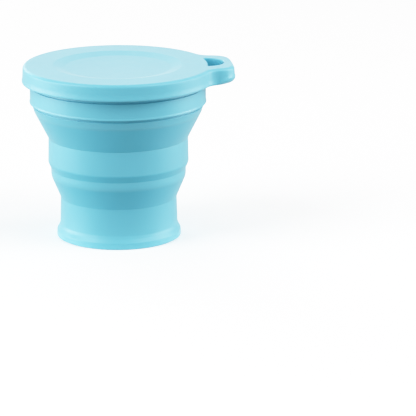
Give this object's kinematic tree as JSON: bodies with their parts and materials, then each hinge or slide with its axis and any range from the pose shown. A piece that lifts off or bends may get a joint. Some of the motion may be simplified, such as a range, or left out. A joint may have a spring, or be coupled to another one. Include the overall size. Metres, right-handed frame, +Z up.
{
  "type": "collapsible travel cup",
  "caption": "Collapsible silicone travel cup that folds flat in stages, with a stiff rim and a push-on lid with a hanging loop.",
  "frame": {"origin": "centre of the circle the cup stands on, on the cup's axis, at the height of the resting surface", "axes": "+Z up the cup's axis towards the lid, +X from the axis towards the lid's hanging loop, the cup standing fully open with its lid on"},
  "size_m": [0.0998, 0.09, 0.0821],
  "materials": {
    "cup_silicone": "matte moulded silicone, light cyan",
    "lid_silicone": "matte moulded silicone, light cyan",
    "rim_plastic": "satin moulded polypropylene, light cyan"
  },
  "bodies": {
    "base": {"base_cup": "cup_silicone"},
    "middle": {"middle_ring": "cup_silicone"},
    "mouth": {"mouth_sleeve": "cup_silicone", "rim_ring": "rim_plastic"},
    "lid": {"lid": "lid_silicone"},
    "lower_web_1": {"lower_fold_ring_1": "cup_silicone"},
    "lower_web_2": {"lower_fold_ring_2": "cup_silicone"},
    "lower_web_3": {"lower_fold_ring_3": "cup_silicone"},
    "lower_web_4": {"lower_fold_ring_4": "cup_silicone"},
    "upper_web_1": {"upper_fold_ring_1": "cup_silicone"},
    "upper_web_2": {"upper_fold_ring_2": "cup_silicone"},
    "upper_web_3": {"upper_fold_ring_3": "cup_silicone"},
    "upper_web_4": {"upper_fold_ring_4": "cup_silicone"}
  },
  "joints": [
    {"name": "lower_fold", "type": "slide", "parent": "base", "child": "middle", "axis": [0, 0, -1], "range_m": [0, 0.0295]},
    {"name": "upper_fold", "type": "slide", "parent": "middle", "child": "mouth", "axis": [0, 0, -1], "range_m": [0, 0.0295]},
    {"name": "lid_lift", "type": "slide", "parent": "mouth", "child": "lid", "axis": [0, 0, 1], "range_m": [0, 0.03]},
    {"name": "lower_fold_ring_1_slide", "type": "slide", "parent": "base", "child": "lower_web_1", "axis": [0, 0, -1], "range_m": [0, 0.00443]},
    {"name": "lower_fold_ring_2_slide", "type": "slide", "parent": "base", "child": "lower_web_2", "axis": [0, 0, -1], "range_m": [0, 0.01062]},
    {"name": "lower_fold_ring_3_slide", "type": "slide", "parent": "base", "child": "lower_web_3", "axis": [0, 0, -1], "range_m": [0, 0.01682]},
    {"name": "lower_fold_ring_4_slide", "type": "slide", "parent": "base", "child": "lower_web_4", "axis": [0, 0, -1], "range_m": [0, 0.0236]},
    {"name": "upper_fold_ring_1_slide", "type": "slide", "parent": "middle", "child": "upper_web_1", "axis": [0, 0, -1], "range_m": [0, 0.00531]},
    {"name": "upper_fold_ring_2_slide", "type": "slide", "parent": "middle", "child": "upper_web_2", "axis": [0, 0, -1], "range_m": [0, 0.01151]},
    {"name": "upper_fold_ring_3_slide", "type": "slide", "parent": "middle", "child": "upper_web_3", "axis": [0, 0, -1], "range_m": [0, 0.0177]},
    {"name": "upper_fold_ring_4_slide", "type": "slide", "parent": "middle", "child": "upper_web_4", "axis": [0, 0, -1], "range_m": [0, 0.0239]}
  ],
  "couplings": [
    {"joint": "lower_fold_ring_1_slide", "follows": "lower_fold", "ratio": 0.15},
    {"joint": "lower_fold_ring_2_slide", "follows": "lower_fold", "ratio": 0.36},
    {"joint": "lower_fold_ring_3_slide", "follows": "lower_fold", "ratio": 0.57},
    {"joint": "lower_fold_ring_4_slide", "follows": "lower_fold", "ratio": 0.8},
    {"joint": "upper_fold_ring_1_slide", "follows": "upper_fold", "ratio": 0.18},
    {"joint": "upper_fold_ring_2_slide", "follows": "upper_fold", "ratio": 0.39},
    {"joint": "upper_fold_ring_3_slide", "follows": "upper_fold", "ratio": 0.6},
    {"joint": "upper_fold_ring_4_slide", "follows": "upper_fold", "ratio": 0.81}
  ]
}
